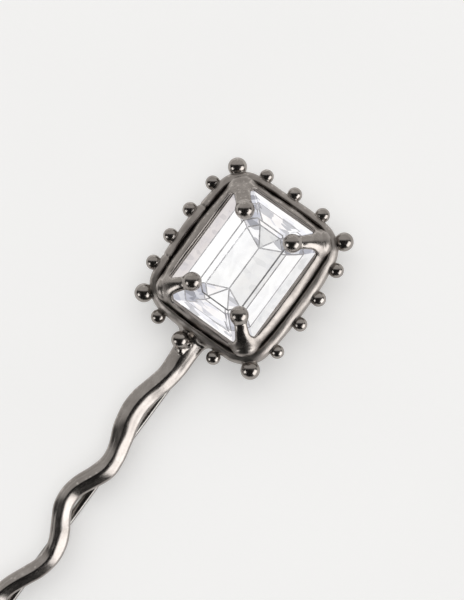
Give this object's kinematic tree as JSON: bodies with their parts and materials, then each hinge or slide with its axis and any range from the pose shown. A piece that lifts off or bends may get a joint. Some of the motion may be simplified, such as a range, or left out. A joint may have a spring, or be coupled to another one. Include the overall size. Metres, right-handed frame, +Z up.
{
  "type": "decorative hair pin",
  "caption": "Hair pin with a rectangular step-cut crystal in a beaded claw setting, on a wavy cast leg with a straight spring wire behind it.",
  "frame": {"origin": "bottom centre of the whole pin lying on its back: midway between the leg's tip and the beads at the head's far end, midway across, on the plane of the head's flat back", "axes": "+X along the pin from the leg tips to the head, +Y across it (left, looking towards the head), +Z up out of the crystal's table"},
  "size_m": [0.074, 0.0206, 0.008],
  "materials": {
    "crystal_glass": "polished facets with a silver foil back",
    "dark_plating": "dark nickel plating on a cast setting, satin on the upper faces, polished along the rounded edges",
    "polished_beads": "dark nickel plating, polished",
    "leg_plating": "dark nickel plating on a cast leg, polished with slight hand-made unevenness",
    "spring_steel": "dark nickel plating on drawn spring wire"
  },
  "bodies": {
    "root": {"crystal": "crystal_glass", "back_plate": "dark_plating", "gallery": "dark_plating", "stone_seat": "dark_plating", "claw_rail": "dark_plating", "outer_rim": "dark_plating", "claw_near_left": "dark_plating", "claw_far_left": "dark_plating", "claw_far_right": "dark_plating", "claw_near_right": "dark_plating", "bead_01": "polished_beads", "bead_02": "polished_beads", "bead_03": "polished_beads", "bead_04": "polished_beads", "bead_05": "polished_beads", "bead_06": "polished_beads", "bead_07": "polished_beads", "bead_08": "polished_beads", "bead_09": "polished_beads", "bead_10": "polished_beads", "bead_11": "polished_beads", "bead_12": "polished_beads", "bead_13": "polished_beads", "bead_14": "polished_beads", "bead_15": "polished_beads", "bead_16": "polished_beads", "bead_17": "polished_beads", "leg_bead": "polished_beads", "wavy_leg": "leg_plating", "spring_anchor": "spring_steel", "spring_fold": "spring_steel"},
    "spring_leg": {"spring_arm": "spring_steel"}
  },
  "joints": [
    {"name": "spring_leg_flex", "type": "hinge", "parent": "root", "child": "spring_leg", "pos_m": [0.01245, -0.00074, 0.00115], "axis": [0, -1, 0], "range_deg": [0, 12], "stiffness_Nm_per_rad": 0.02, "deforming": ["spring_fold"]}
  ]
}
